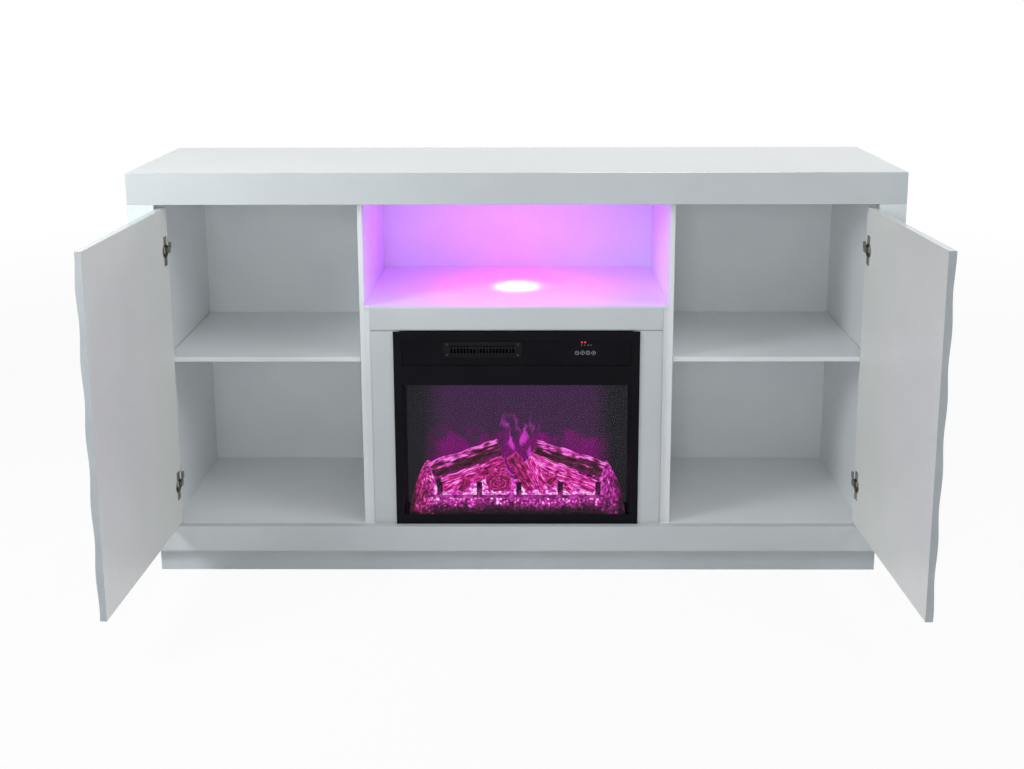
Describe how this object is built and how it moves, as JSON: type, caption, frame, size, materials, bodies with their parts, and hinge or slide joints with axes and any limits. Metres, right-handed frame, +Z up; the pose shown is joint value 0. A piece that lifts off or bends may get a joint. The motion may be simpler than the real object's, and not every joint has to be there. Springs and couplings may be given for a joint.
{
  "type": "fireplace tv stand",
  "caption": "Low white gloss television cabinet with an electric fire in its middle bay, a lit niche above it and a shelved compartment behind a hinged door on either side.",
  "frame": {"origin": "on the floor, at the middle of the width and of the depth of the cabinet, on the underside of the centre rail of the plinth", "axes": "+X along the width to the right as seen from the front, +Y from the front towards the back, +Z up"},
  "size_m": [1.4, 0.6864, 0.772],
  "materials": {
    "white": "white high-gloss lacquered board",
    "back_board": "white faced hardboard, satin",
    "plinth": "white satin board",
    "nickel": "dull nickel plate",
    "spot_metal": "white paint",
    "spot_lens": "frosted lens, lit purple",
    "driver_case": "plain",
    "black_steel": "satin black paint",
    "galvanised": "galvanised",
    "black_plastic": "fine matt",
    "keys": "gloss with a pale ring",
    "red_lamp": "lit red",
    "glass": "clear",
    "motor_steel": "plain",
    "flag_foil": "bright foil",
    "circuit_board": "solder mask",
    "screen": "smoked mirror film",
    "embers": "rough moulded embers, lit from below",
    "logs": "rough moulded bark"
  },
  "bodies": {
    "cabinet": {"top_panel": "white", "top_fascia": "white", "left_side_panel": "white", "right_side_panel": "white", "left_front_stile": "white", "right_front_stile": "white", "left_inner_side": "white", "right_inner_side": "white", "ceiling_panel": "white", "bottom_panel": "white", "bottom_apron": "white", "left_divider": "white", "right_divider": "white", "bay_liners": "white", "niche_floor": "white", "left_shelf": "white", "right_shelf": "white", "surround_top_rail": "white", "surround_stiles": "white", "back_panel": "back_board", "plinth_frame": "plinth", "shelf_pins": "nickel", "hinge_arms": "nickel", "hinge_pins": "nickel", "hinge_plates": "nickel", "hinge_plate_screws": "nickel", "grille_screws": "nickel", "spot_housing": "spot_metal", "spot_lens": "spot_lens", "led_driver": "driver_case", "insert_casing": "black_steel", "insert_bezel": "black_steel", "heater_grille": "black_steel", "log_grate": "black_steel", "heater_tray": "galvanised", "heating_element": "galvanised", "control_panel": "black_plastic", "mains_gland": "black_plastic", "shaft_bushes": "black_plastic", "indicator_lamps": "red_lamp", "window_glass": "glass", "blower_motor": "motor_steel", "rotor_motor": "motor_steel", "control_board": "circuit_board", "light_board": "circuit_board", "flame_screen": "screen", "ember_bed": "embers", "log_set": "logs"},
    "left_door": {"left_door_panel": "white", "left_hinge_cups": "nickel", "left_cup_screws": "nickel"},
    "right_door": {"right_door_panel": "white", "right_hinge_cups": "nickel", "right_cup_screws": "nickel"},
    "power_key": {"power_key": "keys"},
    "flame_key": {"flame_key": "keys"},
    "low_heat_key": {"low_heat_key": "keys"},
    "high_heat_key": {"high_heat_key": "keys"},
    "flame_rotor": {"flame_rotor": "flag_foil"},
    "blower_wheel": {"blower_wheel": "black_plastic"}
  },
  "joints": [
    {"name": "left_door_swing", "type": "hinge", "parent": "cabinet", "child": "left_door", "pos_m": [-0.6412, -0.1565, 0.402], "axis": [0, 0, 1], "range_deg": [0, 93]},
    {"name": "right_door_swing", "type": "hinge", "parent": "cabinet", "child": "right_door", "pos_m": [0.6412, -0.1565, 0.402], "axis": [0, 0, 1], "range_deg": [-93, 0]},
    {"name": "power_key_press", "type": "slide", "parent": "cabinet", "child": "power_key", "axis": [0, 1, 0], "range_m": [0, 0.0008], "stiffness_N_per_m": 600},
    {"name": "flame_key_press", "type": "slide", "parent": "cabinet", "child": "flame_key", "axis": [0, 1, 0], "range_m": [0, 0.0008], "stiffness_N_per_m": 600},
    {"name": "low_heat_key_press", "type": "slide", "parent": "cabinet", "child": "low_heat_key", "axis": [0, 1, 0], "range_m": [0, 0.0008], "stiffness_N_per_m": 600},
    {"name": "high_heat_key_press", "type": "slide", "parent": "cabinet", "child": "high_heat_key", "axis": [0, 1, 0], "range_m": [0, 0.0008], "stiffness_N_per_m": 600},
    {"name": "flame_rotor_turn", "type": "hinge", "parent": "cabinet", "child": "flame_rotor", "pos_m": [0, -0.04, 0.1432], "axis": [1, 0, 0], "continuous": true},
    {"name": "blower_wheel_turn", "type": "hinge", "parent": "cabinet", "child": "blower_wheel", "pos_m": [-0.063, -0.097, 0.4222], "axis": [1, 0, 0], "continuous": true}
  ]
}
